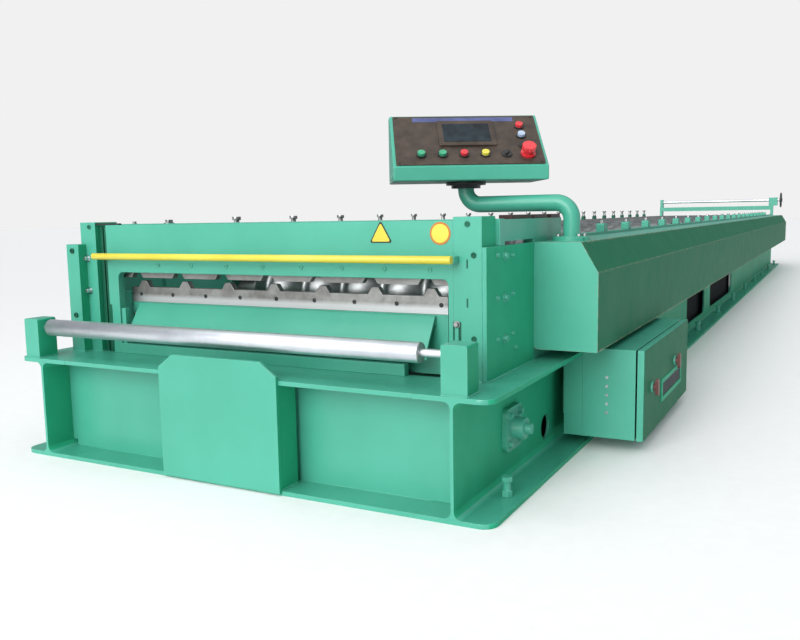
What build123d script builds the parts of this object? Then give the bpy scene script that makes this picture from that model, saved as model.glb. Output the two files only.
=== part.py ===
from build123d import *
import math
import os

# Roll forming machine for ribbed roof sheet, with its profile shear at the exit end.
# Frame: X across the machine, Y from the exit end towards the entry end, Z up.
# The origin is on the floor under the web of the exit-end cross beam, on the centreline.
# All sizes are millimetres.

# Base frame of rolled beams
base_length = 10000.0
beam_height = 300.0
beam_width = 200.0
beam_web = 8.0
beam_flange = 12.0
beam_root = 18.0
flange_corner = 38.0

# Sheet profile that the machine forms, its middle set off towards the chain guard
rib_count = 7
rib_pitch = 165.0
rib_height = 20.0
rib_base = 46.0
rib_top = 20.0
sheet_x = 20.0
pass_rise = 202.0

# The side beams stand this far outside the outermost ribs
web_margin = 180.0

# Openings cut in the web of the right side beam
shaft_hole_y = 673.0
shaft_hole_z = 73.0
shaft_hole_radius = 37.0
long_hole_start = 3302.0
long_hole_length = 699.0
web_hole_spacing = 271.0
drive_hole_length = 1275.0
web_hole_sill = 50.0
web_hole_lintel = 60.0
web_hole_corner = 60.0

# Plate welded over the middle of the exit end
cover_width = 394.0
cover_thickness = 10.0
cover_low = 6.0
cover_rise = 47.0
cover_chamfer_x = 50.0
cover_chamfer_z = 36.0
stiffener_inset = 14.0
stiffener_thickness = 12.0
stiffener_depth = 77.0

# Levelling bolts on the outer bottom flanges
levelling_front = 207.0
levelling_first = 1560.0
levelling_tail = 241.0
levelling_count = 10
levelling_outset = 56.0
levelling_radius = 10.0
levelling_nut_radius = 15.0
levelling_nut = 16.0
levelling_thread = 22.0
levelling_head = 13.0

# Flanged bearing on the right side beam
bearing_y = 370.0
bearing_z = 145.0
bearing_plate = 116.0
bearing_plate_corner = 18.0
bearing_plate_thickness = 14.0
bearing_boss_radius = 29.0
bearing_boss_length = 32.0
bearing_shaft_radius = 14.0
bearing_shaft_length = 16.0

# Outfeed support roller and its two brackets
roller_rise = 90.0
roller_radius = 25.0
roller_chamfer = 2.0
roller_shoulder_left = 18.0
roller_shoulder_right = 64.0
roller_pin_radius = 10.0
roller_pin_running = 0.05
roller_pin_depth = 30.0
roller_end_gap = 5.0
bracket_front = 8.0
bracket_depth = 66.0
bracket_height = 118.0
bracket_left_outset = 73.0
bracket_left_width = 58.0
bracket_right_outset = 37.0
bracket_right_width = 66.0
bracket_corner = 6.0

# Profile shear
shear_front = 176.0
shear_plate = 24.0
post_height = 404.0
post_depth = 90.0
post_left_inset = 3.0
post_left_width = 64.0
post_right_outset = 5.0
post_right_width = 75.0
front_plate_setback = 45.0
front_plate_height = 395.0
window_left_margin = 42.0
window_right_margin = 14.0
window_rise = 251.0
window_corner = 16.0
sill_shortfall = 125.0
sill_height = 31.0
rear_plate_thickness = 24.0
rear_plate_gap = 52.0
side_plate_thickness = 12.0
side_plate_height = 330.0
side_plate_length = 353.0
left_bracket_front = 145.0
left_bracket_outset = 29.0
left_bracket_width = 52.0
left_bracket_height = 337.0
crosshead_depth = 34.0
crosshead_height = 67.0

# Blades of the shear and the ram
blade_setback = 60.0
blade_thickness = 20.0
lower_blade_drop = 47.0
lower_blade_left_margin = 51.0
lower_blade_right_margin = 48.0
blade_step = 7.0
blade_open = 31.0
upper_blade_height = 92.0
upper_blade_left_margin = 68.0
upper_blade_right_margin = 25.0
ram_above_edge = 42.0
ram_height = 87.0
ram_depth = 27.0
ram_guide_gap = 0.3

# Bent plate that slopes down below the lower blade
chute_left_margin = 36.0
chute_right_margin = 33.0
chute_thickness = 8.0
chute_reach = 60.0
chute_fall = 80.0
chute_head_drop = 3.0
chute_lip = 26.0

# Yellow hand guard bar in front of the shear window
guard_bar_left_reach = 15.0
guard_bar_right_reach = 13.0
guard_bar_rise = 301.0
guard_bar_radius = 10.0
holder_length = 30.0
holder_width = 16.0

# Forming section
wall_thickness = 30.0
wall_height = 340.0
wall_start_gap = 1.0
wall_tail = 50.0
head_rail_width = 48.0
head_rail_height = 55.0
head_rail_overrun = 260.0
station_lead = 420.0
station_pitch = 390.0
station_tail = 950.0
block_window_width = 124.0
block_window_sill = 45.0
block_window_lintel = 15.0
block_gap = 0.4
block_proud = 6.0
cap_length = 52.0
cap_outer_inset = 1.0
cap_height = 28.0
cap_chamfer = 6.0
screw_height = 47.0
screw_radius = 11.0
screw_flange_radius = 14.0
screw_flange = 11.0
screw_head_radius = 17.0
screw_head = 14.0
roll_radius = 72.0
roll_gap = 0.8
roll_left_margin = 115.0
roll_right_margin = 75.0
roll_edge = 4.0
shaft_radius = 35.0
shaft_collar_radius = 45.0
shaft_collar = 30.0
rib_stations = 6
rib_delay = 5

# Chain guard along the right side
guard_top_width = 133.0
guard_width = 181.0
guard_low_rise = 31.0
guard_shoulder_rise = 248.0
guard_rise = 330.0
guard_corner = 14.0
guard_tail = 600.0

# Electrical cabinet hung on the right side beam
cabinet_start = 733.0
cabinet_length = 774.0
cabinet_low = 41.0
cabinet_rise = 10.0
cabinet_reach = 181.0
cable_box_inset = 44.0
cable_mount_inset = 23.0
cable_mount_setback = 60.0
cable_mount_low = 90.0
cabinet_wall = 4.0
door_depth = 20.0
door_gap = 5.0
door_wall = 3.0
hinge_radius = 7.0
hinge_offset = 14.0
hinge_height = 60.0
hinge_inset = 55.0
hinge_play = 0.15
hinge_leaf = 2.0
hinge_reach = 20.0
meter_start = 267.0
meter_low = 64.0
meter_width = 360.0
meter_height = 73.0
meter_frame = 14.0
main_handle_start = 112.0
main_handle_rise = 143.0
second_handle_start = 497.0
second_handle_rise = 24.0
handle_base_radius = 16.0
handle_base_depth = 6.0
handle_neck = 5.0
handle_neck_radius = 12.0
handle_length = 50.0
handle_width = 13.0
handle_depth = 10.0
handle_gap = 0.3

# Tubular arm and swivelling control panel
arm_inset = 66.0
arm_y = 672.0
arm_radius = 24.15
arm_foot_radius = 55.0
arm_foot = 12.0
arm_rise = 108.0
arm_reach = 328.0
arm_bend_allowance = 2.0
swivel_rise = 49.0
swivel_gap = 0.3
swivel_low_radius = 44.0
swivel_high_radius = 60.0
swivel_step = 9.5
panel_turn = 31.0
panel_width = 452.0
panel_depth = 250.0
panel_front = 40.0
panel_height = 203.0
panel_slope_run = 189.0
panel_corner = 4.0
face_thickness = 3.0
face_side_margin = 9.0
face_end_margin = 6.0
screen_from_top = 99.0
screen_frame_width = 170.0
screen_frame_height = 122.0
screen_frame_thickness = 6.0
screen_width = 140.0
screen_height = 88.0
screen_thickness = 1.0
button_from_bottom = 50.0
button_left_margin = 84.0
stop_right_margin = 55.0
button_count = 4
button_base_radius = 15.0
button_base = 4.0
button_cap_radius = 11.0
button_cap = 8.0
switch_width = 7.0
switch_turn = 60.0
stop_base_radius = 22.0
stop_base = 6.0
stop_stem_radius = 11.0
stop_stem = 12.0
stop_head_radius = 20.0
stop_head = 14.0
lamp_right_margin = 62.0
lamps_from_top = (63.0, 111.0)
key_from_top = 157.0

# Entry end
entry_beam_depth = 100.0
entry_beam_rise = 57.0
entry_beam_height = 50.0
spindle_rise = 68.0
spindle_radius = 16.0
spindle_running = 0.05
spindle_left_width = 35.0
spindle_right_inset = 50.0
spindle_right_reach = 49.0
spindle_bracket_depth = 70.0
spindle_bracket_height = 101.0
wheel_offset = 37.0
wheel_radius = 92.0
wheel_rim = 9.0
wheel_hub_radius = 22.0
wheel_hub_length = 34.0
wheel_spoke_radius = 7.0
wheel_spokes = 3

# Places that follow from the sizes above
front = -beam_width / 2
back = front + base_length
half_web = beam_web / 2
web_depth = beam_height - 2 * beam_flange
sheet_half = (rib_count - 1) / 2 * rib_pitch
first_rib_x = sheet_x - sheet_half
last_rib_x = sheet_x + sheet_half
web_x = sheet_half + web_margin
inner_flange_x = web_x - beam_width / 2
outer_flange_x = web_x + beam_width / 2
pass_z = beam_height + pass_rise

bracket_left_x = (-web_x - bracket_left_outset, -web_x - bracket_left_outset + bracket_left_width)
bracket_right_x = (web_x + bracket_right_outset - bracket_right_width, web_x + bracket_right_outset)
roller_y = front + bracket_front + bracket_depth / 2
roller_z = beam_height + roller_rise
roller_left = bracket_left_x[1] + roller_shoulder_left
roller_right = bracket_right_x[0] - roller_shoulder_right

shear_y = front + shear_front
shear_plate_y = (shear_y, shear_y + shear_plate)
post_y = (shear_y, shear_y + post_depth)
post_left_x = (-web_x + post_left_inset, -web_x + post_left_inset + post_left_width)
post_right_x = (web_x + post_right_outset - post_right_width, web_x + post_right_outset)
front_plate_x = (post_left_x[1] + front_plate_setback, post_right_x[0])
window_x = (front_plate_x[0] + window_left_margin, front_plate_x[1] - window_right_margin)
side_plate_y = (shear_y, shear_y + side_plate_length)
side_plate_high = beam_height + side_plate_height

blade_y = shear_y + blade_setback
upper_blade_y = blade_y - blade_step
lower_blade_low = pass_z - lower_blade_drop
lower_blade_x = (first_rib_x - lower_blade_left_margin, last_rib_x + lower_blade_right_margin)
upper_blade_low = pass_z + blade_open
ram_x = (post_left_x[1] + ram_guide_gap, post_right_x[0] - ram_guide_gap)
upper_blade_x = (ram_x[0] + upper_blade_left_margin, ram_x[1] - upper_blade_right_margin)

wall_x = (web_x - wall_thickness / 2, web_x + wall_thickness / 2)
wall_y = (side_plate_y[1] + wall_start_gap, back - wall_tail)
wall_high = beam_height + wall_height
block_window_low = beam_height + block_window_sill
block_window_high = wall_high - block_window_lintel
cap_high = wall_high + cap_height
first_station_y = wall_y[0] + station_lead
station_count = int((wall_y[1] - station_tail - first_station_y) / station_pitch) + 1
station_places = [first_station_y + i * station_pitch for i in range(station_count)]

guard_x = wall_x[1]
guard_high = beam_height + guard_rise

cabinet_y = (front + cabinet_start, front + cabinet_start + cabinet_length)
cabinet_high = beam_height + cabinet_rise
cabinet_outer_x = outer_flange_x + cabinet_reach
meter_y = cabinet_y[0] + meter_start + meter_width / 2
meter_z = cabinet_low + meter_low + meter_height / 2
handle_places = (
    (cabinet_y[0] + main_handle_start, cabinet_low + main_handle_rise),
    (cabinet_y[0] + second_handle_start, meter_z + meter_height / 2 + second_handle_rise),
)

arm_x = guard_x + arm_inset
arm_run_z = guard_high + arm_rise
swivel_x = arm_x - arm_reach
swivel_y = front + arm_y
swivel_z = arm_run_z + swivel_rise

entry_y = (wall_y[1] - entry_beam_depth, wall_y[1])
entry_low = wall_high + entry_beam_rise
entry_high = entry_low + entry_beam_height
spindle_y = (entry_y[0] + entry_y[1]) / 2
spindle_z = entry_high + spindle_rise
spindle_left_bracket = (-wall_x[1], -wall_x[1] + spindle_left_width)
spindle_right_bracket = (wall_x[1] - spindle_right_inset, wall_x[1] + spindle_right_reach)
wheel_x = spindle_right_bracket[1] + wheel_offset


def block(x_span, y_span, z_span, mode=Mode.ADD):
    """Upright rectangular block between three pairs of limits."""
    with BuildSketch(Plane.XY.offset(z_span[0])) as foot:
        with Locations(((x_span[0] + x_span[1]) / 2, (y_span[0] + y_span[1]) / 2)):
            Rectangle(x_span[1] - x_span[0], y_span[1] - y_span[0])
    extrude(foot.sketch, amount=z_span[1] - z_span[0], mode=mode)


def round_x(x_span, y, z, radius, mode=Mode.ADD):
    """Cylinder along X."""
    with BuildSketch(Plane.YZ.offset(x_span[0])) as disc:
        with Locations((y, z)):
            Circle(radius)
    extrude(disc.sketch, amount=x_span[1] - x_span[0], mode=mode)


def round_z(x, y, z_span, radius, mode=Mode.ADD):
    """Cylinder along Z."""
    with BuildSketch(Plane.XY.offset(z_span[0])) as disc:
        with Locations((x, y)):
            Circle(radius)
    extrude(disc.sketch, amount=z_span[1] - z_span[0], mode=mode)


def hexagon(x, y, z_span, radius):
    """Hexagonal nut or head along Z."""
    with BuildSketch(Plane.XY.offset(z_span[0])) as outline:
        with Locations((x, y)):
            RegularPolygon(radius, 6)
    extrude(outline.sketch, amount=z_span[1] - z_span[0])


def mirrored(span):
    """The same limits on the other side of the centreline."""
    return (-span[1], -span[0])


def finish(part, name):
    """Label one sub-part and write its file."""
    part.part.label = name
    export_step(part.part, "parts/" + name + ".step")


os.makedirs("parts", exist_ok=True)


def side_beam(side, pierced):
    """Rolled beam along one side, with its rounded flange corner and any web openings."""
    with BuildPart() as beam:
        with BuildSketch(Plane.XZ.offset(-front)) as section:
            with Locations((side * web_x, 0)):
                Rectangle(beam_width, beam_height, align=(Align.CENTER, Align.MIN))
            pocket = (beam_width - beam_web) / 2
            pocket_x = (beam_web + pocket) / 2
            with Locations((side * web_x - pocket_x, beam_flange), (side * web_x + pocket_x, beam_flange)):
                Rectangle(pocket, web_depth, align=(Align.CENTER, Align.MIN), mode=Mode.SUBTRACT)
            roots = [v for v in section.vertices() if abs(v.X - side * web_x) < beam_web]
            fillet(roots, beam_root)
        extrude(amount=-base_length)
        corners = beam.edges().filter_by(Axis.Z).sort_by(Axis.X)
        outer = [e for e in corners if abs(e.center().X) > web_x + beam_root]
        fillet(ShapeList(outer).group_by(Axis.Y)[0], flange_corner)
        if pierced:
            long_hole_middle = front + long_hole_start + long_hole_length / 2
            drive_hole_middle = (
                front + long_hole_start + long_hole_length + web_hole_spacing + drive_hole_length / 2
            )
            hole_height = beam_height - web_hole_sill - web_hole_lintel
            with BuildSketch(Plane.YZ.offset(side * web_x - half_web)):
                with Locations((front + shaft_hole_y, shaft_hole_z)):
                    Circle(shaft_hole_radius)
                with Locations((long_hole_middle, web_hole_sill + hole_height / 2)):
                    RectangleRounded(long_hole_length, hole_height, web_hole_corner)
                with Locations((drive_hole_middle, web_hole_sill + hole_height / 2)):
                    RectangleRounded(drive_hole_length, hole_height, web_hole_corner)
            extrude(amount=beam_web, mode=Mode.SUBTRACT)
    return beam


side_beam_left = side_beam(-1, False)
finish(side_beam_left, "side_beam_left")
side_beam_right = side_beam(1, True)
finish(side_beam_right, "side_beam_right")


def cross_beam(y):
    """Rolled beam between the two side beams, its flanges coped to butt theirs."""
    web_end = web_x - half_web
    flange_y = (y - beam_width / 2, y + beam_width / 2)
    with BuildPart() as beam:
        block((-web_end, web_end), (y - half_web, y + half_web), (beam_flange, beam_height - beam_flange))
        for low in (0, beam_height - beam_flange):
            block((-inner_flange_x, inner_flange_x), flange_y, (low, low + beam_flange))
        for side in (-1, 1):
            cope_x = sorted((side * (web_end - beam_root), side * web_end))
            for low in (beam_flange, beam_height - beam_flange - beam_root):
                block(cope_x, (y - half_web, y + half_web), (low, low + beam_root), mode=Mode.SUBTRACT)
    return beam


front_cross_beam = cross_beam(front + beam_width / 2)
finish(front_cross_beam, "front_cross_beam")
rear_cross_beam = cross_beam(back - beam_width / 2)
finish(rear_cross_beam, "rear_cross_beam")

# Plate over the middle of the exit end, both top corners cut off
with BuildPart() as front_cover_plate:
    with BuildSketch(Plane.XZ.offset(-front)):
        half = cover_width / 2
        cover_high = beam_height + cover_rise
        Polygon(
            (-half, cover_low), (half, cover_low), (half, cover_high - cover_chamfer_z),
            (half - cover_chamfer_x, cover_high), (-half + cover_chamfer_x, cover_high),
            (-half, cover_high - cover_chamfer_z), align=None,
        )
    extrude(amount=cover_thickness)
finish(front_cover_plate, "front_cover_plate")

# Upright stiffeners between the flanges behind the plate's two edges
between_flanges = (beam_flange, beam_height - beam_flange)
with BuildPart() as front_stiffeners:
    for side in (-1, 1):
        inner = side * (cover_width / 2 - stiffener_inset)
        outer = inner + side * stiffener_thickness
        block(sorted((inner, outer)), (front, front + stiffener_depth), between_flanges)
finish(front_stiffeners, "front_stiffeners")


def levelling_bolts(side):
    """Row of jacking bolts that stand on the outer bottom flange."""
    pitch = (base_length - levelling_tail - levelling_first) / (levelling_count - 1)
    places = [levelling_front] + [levelling_first + i * pitch for i in range(levelling_count)]
    nut_high = beam_flange + levelling_nut
    head_low = nut_high + levelling_thread
    x = side * (web_x + levelling_outset)
    with BuildPart() as bolts:
        for place in places:
            y = front + place
            hexagon(x, y, (beam_flange, nut_high), levelling_nut_radius)
            round_z(x, y, (nut_high, head_low), levelling_radius)
            hexagon(x, y, (head_low, head_low + levelling_head), levelling_nut_radius)
    return bolts


levelling_bolts_left = levelling_bolts(-1)
finish(levelling_bolts_left, "levelling_bolts_left")
levelling_bolts_right = levelling_bolts(1)
finish(levelling_bolts_right, "levelling_bolts_right")

# Four-bolt flanged bearing with a shaft end
with BuildPart() as front_bearing_unit:
    bearing_face = web_x + half_web
    with BuildSketch(Plane.YZ.offset(bearing_face)):
        with Locations((front + bearing_y, bearing_z)):
            RectangleRounded(bearing_plate, bearing_plate, bearing_plate_corner)
    extrude(amount=bearing_plate_thickness)
    boss_start = bearing_face + bearing_plate_thickness
    boss_end = boss_start + bearing_boss_length
    round_x((boss_start, boss_end), front + bearing_y, bearing_z, bearing_boss_radius)
    round_x((boss_end, boss_end + bearing_shaft_length), front + bearing_y, bearing_z, bearing_shaft_radius)
finish(front_bearing_unit, "front_bearing_unit")


def roller_bracket(x_span, bore_x):
    """Closed post that carries one pin of the support roller in a blind bore."""
    bracket_y = (front + bracket_front, front + bracket_front + bracket_depth)
    with BuildPart() as bracket:
        block(x_span, bracket_y, (beam_height, beam_height + bracket_height))
        fillet(bracket.edges().filter_by(Axis.Y).group_by(Axis.Z)[-1], bracket_corner)
        round_x(bore_x, roller_y, roller_z, roller_pin_radius + roller_pin_running, mode=Mode.SUBTRACT)
    return bracket


bore_left_x = (bracket_left_x[1] - roller_pin_depth, bracket_left_x[1])
bore_right_x = (bracket_right_x[0], bracket_right_x[0] + roller_pin_depth)
roller_bracket_left = roller_bracket(bracket_left_x, bore_left_x)
finish(roller_bracket_left, "roller_bracket_left")
roller_bracket_right = roller_bracket(bracket_right_x, bore_right_x)
finish(roller_bracket_right, "roller_bracket_right")

# Steel roller that the finished sheet runs over
with BuildPart() as support_roller:
    round_x((roller_left, roller_right), roller_y, roller_z, roller_radius)
    chamfer(support_roller.edges().filter_by(GeomType.CIRCLE), roller_chamfer)
    round_x((bore_left_x[0] + roller_end_gap, roller_left), roller_y, roller_z, roller_pin_radius)
    round_x((roller_right, bore_right_x[1] - roller_end_gap), roller_y, roller_z, roller_pin_radius)
finish(support_roller, "support_roller")

# Posts of the shear
with BuildPart() as shear_post_left:
    block(post_left_x, post_y, (beam_height, beam_height + post_height))
finish(shear_post_left, "shear_post_left")
with BuildPart() as shear_post_right:
    block(post_right_x, post_y, (beam_height, beam_height + post_height))
finish(shear_post_right, "shear_post_right")

# Front plate of the shear with the wide window
with BuildPart() as shear_front_plate:
    block(front_plate_x, shear_plate_y, (beam_height, beam_height + front_plate_height))
    with BuildSketch(Plane.XZ.offset(-shear_y)) as window:
        with Locations(((window_x[0] + window_x[1]) / 2, beam_height)):
            Rectangle(window_x[1] - window_x[0], window_rise, align=(Align.CENTER, Align.MIN))
        fillet(window.vertices().group_by(Axis.Y)[-1], window_corner)
    extrude(amount=-shear_plate, mode=Mode.SUBTRACT)
finish(shear_front_plate, "shear_front_plate")

# Low sill that stands in the window behind the roller
with BuildPart() as shear_front_sill:
    sill_x = (window_x[0], window_x[1] - sill_shortfall)
    block(sill_x, shear_plate_y, (beam_height, beam_height + sill_height))
finish(shear_front_sill, "shear_front_sill")

# Two rear plates that tie the posts, below and above the path of the sheet
rear_plate_x = (post_left_x[0], post_right_x[1])
rear_plate_y = (post_y[1], post_y[1] + rear_plate_thickness)
rear_plate_high = pass_z - rib_height
with BuildPart() as shear_rear_plate_lower:
    block(rear_plate_x, rear_plate_y, (beam_height, rear_plate_high))
finish(shear_rear_plate_lower, "shear_rear_plate_lower")
with BuildPart() as shear_rear_plate_upper:
    block(rear_plate_x, rear_plate_y, (pass_z + rear_plate_gap, side_plate_high))
finish(shear_rear_plate_upper, "shear_rear_plate_upper")

# Bolted plates on the two flanks of the shear
flank_x = (post_left_x[0] - side_plate_thickness, post_right_x[1] + side_plate_thickness)
with BuildPart() as shear_side_plate_right:
    block((post_right_x[1], flank_x[1]), side_plate_y, (beam_height, side_plate_high))
finish(shear_side_plate_right, "shear_side_plate_right")
with BuildPart() as shear_side_plate_left:
    block((flank_x[0], post_left_x[0]), side_plate_y, (beam_height, side_plate_high))
finish(shear_side_plate_left, "shear_side_plate_left")

# Upright bracket that stands in front of the left post
with BuildPart() as shear_left_bracket:
    left_bracket_x = -web_x - left_bracket_outset
    block((left_bracket_x, left_bracket_x + left_bracket_width), (front + left_bracket_front, shear_y),
          (beam_height, beam_height + left_bracket_height))
finish(shear_left_bracket, "shear_left_bracket")

# Crosshead bar on top of the upper rear plate
crosshead_y = (post_y[1], post_y[1] + crosshead_depth)
with BuildPart() as shear_crosshead:
    block(flank_x, crosshead_y, (side_plate_high, side_plate_high + crosshead_height))
finish(shear_crosshead, "shear_crosshead")


def rib_outline(low, x_span):
    """Upper outline of a blade: flat land with trapezoid ribs."""
    points = [(x_span[0], low)]
    for i in range(rib_count):
        centre = first_rib_x + i * rib_pitch
        points.append((centre - rib_base / 2, low))
        points.append((centre - rib_top / 2, low + rib_height))
        points.append((centre + rib_top / 2, low + rib_height))
        points.append((centre + rib_base / 2, low))
    points.append((x_span[1], low))
    return points


# Fixed lower blade
with BuildPart() as lower_blade:
    with BuildSketch(Plane.XZ.offset(-blade_y)):
        outline = rib_outline(pass_z, lower_blade_x)
        outline += [(lower_blade_x[1], lower_blade_low), (lower_blade_x[0], lower_blade_low)]
        Polygon(*outline, align=None)
    extrude(amount=-blade_thickness)
finish(lower_blade, "lower_blade")

# Beam under and behind the lower blade
with BuildPart() as lower_blade_beam:
    block(lower_blade_x, (blade_y, blade_y + blade_thickness), (beam_height, lower_blade_low))
    block(lower_blade_x, (blade_y + blade_thickness, post_y[1]), (beam_height, rear_plate_high))
finish(lower_blade_beam, "lower_blade_beam")

# Sloping plate below the lower blade, bent down at its head and its foot
with BuildPart() as outfeed_chute:
    head_z = lower_blade_low - chute_head_drop
    foot_z = head_z - chute_fall
    foot_y = blade_y - chute_reach
    head_y = blade_y - chute_thickness
    head_under = head_z - chute_thickness * chute_fall / (head_y - foot_y)
    with BuildSketch(Plane.YZ.offset(lower_blade_x[0] + chute_left_margin)):
        Polygon(
            (blade_y, head_z), (head_y, head_z), (foot_y, foot_z), (foot_y, foot_z - chute_lip),
            (foot_y + chute_thickness, foot_z - chute_lip), (foot_y + chute_thickness, foot_z),
            (head_y, head_under), (head_y, head_z - chute_lip), (blade_y, head_z - chute_lip), align=None,
        )
    extrude(amount=lower_blade_x[1] - chute_right_margin - lower_blade_x[0] - chute_left_margin)
finish(outfeed_chute, "outfeed_chute")

# Moving upper blade, the negative of the ribs
with BuildPart() as upper_blade:
    with BuildSketch(Plane.XZ.offset(blade_thickness - upper_blade_y)):
        upper_blade_high = upper_blade_low + upper_blade_height
        outline = rib_outline(upper_blade_low, upper_blade_x)
        outline += [(upper_blade_x[1], upper_blade_high), (upper_blade_x[0], upper_blade_high)]
        Polygon(*outline, align=None)
    extrude(amount=-blade_thickness)
finish(upper_blade, "upper_blade")

# Ram that carries the upper blade
with BuildPart() as blade_ram:
    ram_low = upper_blade_low + ram_above_edge
    block(ram_x, (upper_blade_y, upper_blade_y + ram_depth), (ram_low, ram_low + ram_height))
finish(blade_ram, "blade_ram")

# Yellow bar across the front and its two holders
guard_bar_y = shear_y - holder_length - guard_bar_radius
guard_bar_z = beam_height + guard_bar_rise
with BuildPart() as hand_guard_bar:
    round_x((front_plate_x[0] - guard_bar_left_reach, front_plate_x[1] + guard_bar_right_reach),
            guard_bar_y, guard_bar_z, guard_bar_radius)
finish(hand_guard_bar, "hand_guard_bar")


def guard_bar_holder(x_start):
    """Short square stud from the shear front to the back of the bar."""
    with BuildPart() as holder:
        block((x_start, x_start + holder_width), (guard_bar_y + guard_bar_radius, shear_y),
              (guard_bar_z - holder_width / 2, guard_bar_z + holder_width / 2))
    return holder


guard_bar_holder_left = guard_bar_holder(front_plate_x[0])
finish(guard_bar_holder_left, "guard_bar_holder_left")
guard_bar_holder_right = guard_bar_holder(post_right_x[0])
finish(guard_bar_holder_right, "guard_bar_holder_right")


def side_wall(side):
    """Upright wall of the forming section: a window for each bearing stack, and a raised entry end."""
    x_span = wall_x if side > 0 else mirrored(wall_x)
    with BuildPart() as wall:
        block(x_span, wall_y, (beam_height, wall_high))
        block(x_span, entry_y, (wall_high, entry_low))
        with BuildSketch(Plane.YZ.offset(x_span[0])):
            with Locations(*[(y, (block_window_low + block_window_high) / 2) for y in station_places]):
                Rectangle(block_window_width, block_window_high - block_window_low)
        extrude(amount=wall_thickness, mode=Mode.SUBTRACT)
    return wall


side_wall_left = side_wall(-1)
finish(side_wall_left, "side_wall_left")
side_wall_right = side_wall(1)
finish(side_wall_right, "side_wall_right")

# Rail on the head of the right wall, which runs forward to the crosshead of the shear
with BuildPart() as wall_head_rail:
    head_rail_x = (wall_x[1] - head_rail_width, wall_x[1])
    head_rail_y = (crosshead_y[1], wall_y[0] + head_rail_overrun)
    block(head_rail_x, head_rail_y, (wall_high, wall_high + head_rail_height))
finish(wall_head_rail, "wall_head_rail")


def bearing_blocks(side):
    """Lower and upper bearing block of every station."""
    right_x = (wall_x[0] - block_proud, wall_x[1])
    x_span = right_x if side > 0 else mirrored(right_x)
    half = block_window_width / 2 - block_gap
    with BuildPart() as blocks:
        for y in station_places:
            block(x_span, (y - half, y + half), (block_window_low, pass_z - block_gap / 2))
            block(x_span, (y - half, y + half), (pass_z + block_gap / 2, block_window_high - block_gap))
    return blocks


bearing_blocks_left = bearing_blocks(-1)
finish(bearing_blocks_left, "bearing_blocks_left")
bearing_blocks_right = bearing_blocks(1)
finish(bearing_blocks_right, "bearing_blocks_right")


def bearing_caps(side):
    """Cap on the wall above every bearing stack."""
    right_x = (wall_x[0], wall_x[1] - cap_outer_inset)
    x_span = right_x if side > 0 else mirrored(right_x)
    with BuildPart() as caps:
        for y in station_places:
            block(x_span, (y - cap_length / 2, y + cap_length / 2), (wall_high, cap_high))
        chamfer(caps.edges().filter_by(Axis.X).group_by(Axis.Z)[-1], cap_chamfer)
    return caps


bearing_caps_left = bearing_caps(-1)
finish(bearing_caps_left, "bearing_caps_left")
bearing_caps_right = bearing_caps(1)
finish(bearing_caps_right, "bearing_caps_right")

# Flat-headed adjusting screws that stand on the left caps
with BuildPart() as adjusting_screws:
    screw_x = -web_x
    screw_high = cap_high + screw_height
    for y in station_places:
        round_z(screw_x, y, (cap_high, cap_high + screw_flange), screw_flange_radius)
        round_z(screw_x, y, (cap_high + screw_flange, screw_high - screw_head), screw_radius)
        round_z(screw_x, y, (screw_high - screw_head, screw_high), screw_head_radius)
finish(adjusting_screws, "adjusting_screws")


def rib_share(station, rib):
    """Share of the full rib height that one station has formed, middle ribs first."""
    order = abs(rib - (rib_count - 1) // 2)
    from_entry = station_count - 1 - station
    done = (from_entry - order * rib_delay + 1) / rib_stations
    return max(0.0, min(1.0, done))


def roll_profile(station, upper):
    """Half outline of one roll with its shaft, as (x, radius) points."""
    shaft_end = wall_x[0] - block_proud
    left = -wall_x[0] + roll_left_margin
    right = wall_x[0] - roll_right_margin
    spread = roll_gap if upper else -roll_gap
    points = [(-shaft_end, 0), (-shaft_end, shaft_radius)]
    points += [(left - shaft_collar, shaft_radius), (left - shaft_collar, shaft_collar_radius)]
    points += [(left, shaft_collar_radius), (left, roll_radius - roll_edge), (left + roll_edge, roll_radius)]
    for rib in range(rib_count):
        share = rib_share(station, rib)
        if share <= 0:
            continue
        height = rib_height * share * (-1 if upper else 1)
        centre = first_rib_x + rib * rib_pitch
        points.append((centre - rib_base / 2 - spread, roll_radius))
        points.append((centre - rib_top / 2 - spread, roll_radius + height))
        points.append((centre + rib_top / 2 + spread, roll_radius + height))
        points.append((centre + rib_base / 2 + spread, roll_radius))
    points += [(right - roll_edge, roll_radius), (right, roll_radius - roll_edge)]
    points += [(right, shaft_collar_radius), (right + shaft_collar, shaft_collar_radius)]
    points += [(right + shaft_collar, shaft_radius)]
    points += [(shaft_end, shaft_radius), (shaft_end, 0)]
    return points


def forming_rolls(upper):
    """One row of profiled rolls on their shafts."""
    centre_z = pass_z + roll_radius + roll_gap if upper else pass_z - roll_radius
    with BuildPart() as rolls:
        for i, y in enumerate(station_places):
            with BuildSketch(Plane(origin=(0, y, centre_z), x_dir=(1, 0, 0), z_dir=(0, -1, 0))):
                Polygon(*roll_profile(i, upper), align=None)
            revolve(axis=Axis((0, y, centre_z), (1, 0, 0)), revolution_arc=360)
    return rolls


lower_forming_rolls = forming_rolls(False)
finish(lower_forming_rolls, "lower_forming_rolls")
upper_forming_rolls = forming_rolls(True)
finish(upper_forming_rolls, "upper_forming_rolls")

# Closed guard over the drive chains
with BuildPart() as chain_guard:
    guard_low = beam_height + guard_low_rise
    with BuildSketch(Plane.XZ.offset(-side_plate_y[1])) as guard_section:
        Polygon(
            (guard_x, guard_low),
            (guard_x + guard_width, guard_low),
            (guard_x + guard_width, beam_height + guard_shoulder_rise),
            (guard_x + guard_top_width, guard_high),
            (guard_x, guard_high),
            align=None,
        )
        fillet(guard_section.vertices().group_by(Axis.X)[0].sort_by(Axis.Y)[0], guard_corner)
    extrude(amount=side_plate_y[1] - (back - guard_tail))
finish(chain_guard, "chain_guard")

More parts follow.
